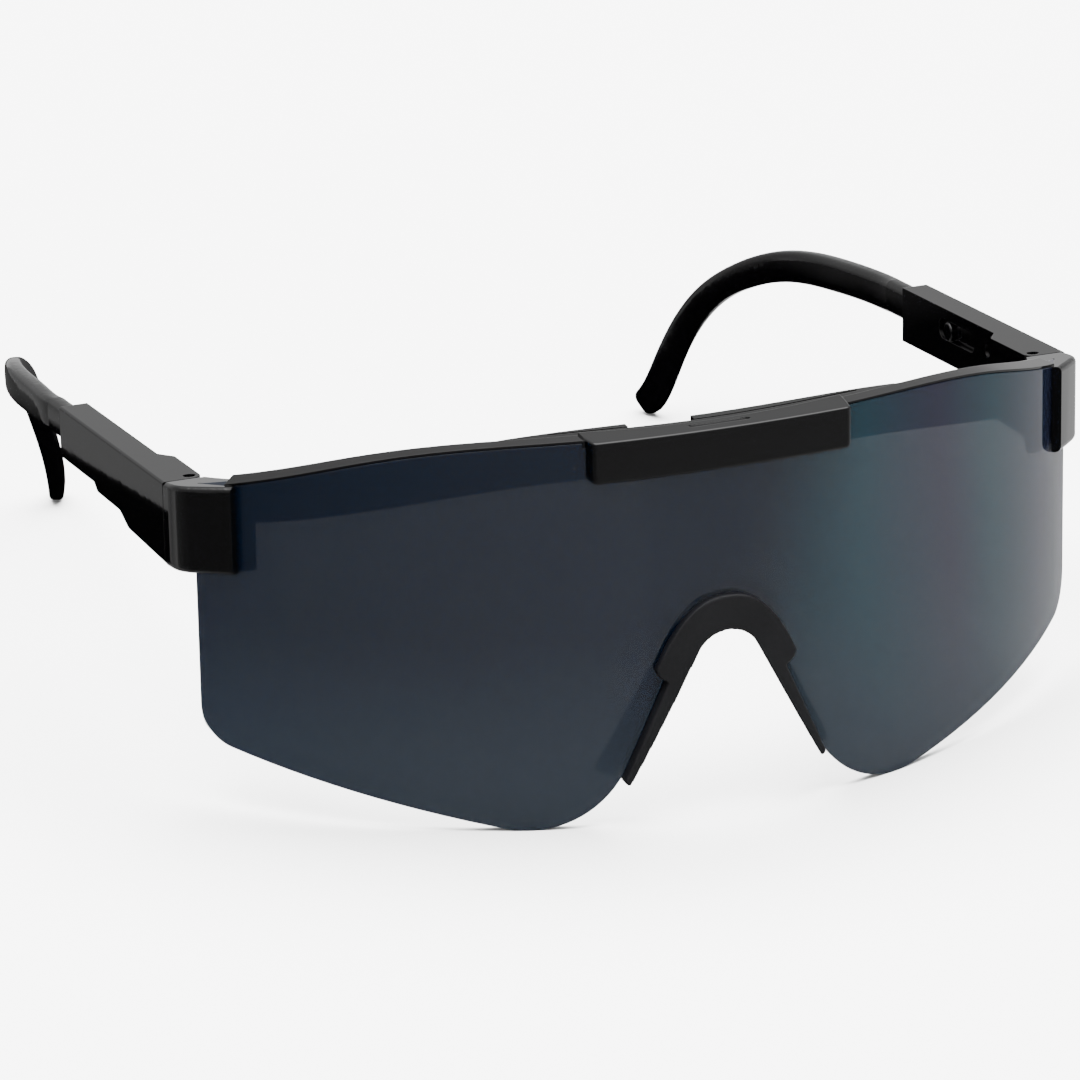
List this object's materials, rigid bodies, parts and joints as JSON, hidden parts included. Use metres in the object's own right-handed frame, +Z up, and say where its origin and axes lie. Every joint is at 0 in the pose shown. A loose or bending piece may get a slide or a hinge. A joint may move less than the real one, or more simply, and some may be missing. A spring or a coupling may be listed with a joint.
{
  "type": "safety glasses",
  "caption": "Wrap-round safety glasses with a one-piece smoke lens, a brow frame, a soft nose piece and folding temples with length-adjusting arms.",
  "frame": {"origin": "on the table under the middle of the whole object, which stands on the two lens lobes and the two ear tips", "axes": "+Z up, the lens faces -Y, the temples run back along +Y, +X is the wearer's left"},
  "size_m": [0.152, 0.1778, 0.0637],
  "materials": {
    "frame_plastic": "glossy black, moulded",
    "lens_polycarbonate": "dark smoke tint, polished, with a faint teal and purple coating",
    "nose_rubber": "matte dark grey, soft",
    "arm_nylon": "black, between satin and gloss",
    "button_plastic": "black gloss",
    "pin_steel": "plain steel"
  },
  "bodies": {
    "front": {"frame_front": "frame_plastic", "lens": "lens_polycarbonate", "nose_piece": "nose_rubber"},
    "temple_left": {"temple_sleeve_left": "frame_plastic", "hinge_pin_left": "pin_steel"},
    "temple_right": {"temple_sleeve_right": "frame_plastic", "hinge_pin_right": "pin_steel"},
    "arm_left": {"temple_arm_left": "arm_nylon", "length_stop_button_left": "button_plastic"},
    "arm_right": {"temple_arm_right": "arm_nylon", "length_stop_button_right": "button_plastic"}
  },
  "joints": [
    {"name": "fold_left", "type": "hinge", "parent": "front", "child": "temple_left", "pos_m": [0.0711, -0.04326, 0.04414], "axis": [0, 0, 1], "range_deg": [0, 90]},
    {"name": "fold_right", "type": "hinge", "parent": "front", "child": "temple_right", "pos_m": [-0.0711, -0.04326, 0.04414], "axis": [0, 0, -1], "range_deg": [0, 84]},
    {"name": "length_left", "type": "slide", "parent": "temple_left", "child": "arm_left", "axis": [0, 0.9943, -0.1064], "range_m": [-0.0086, 0.0025]},
    {"name": "length_right", "type": "slide", "parent": "temple_right", "child": "arm_right", "axis": [0, 0.9943, -0.1064], "range_m": [-0.0086, 0.0025]}
  ]
}
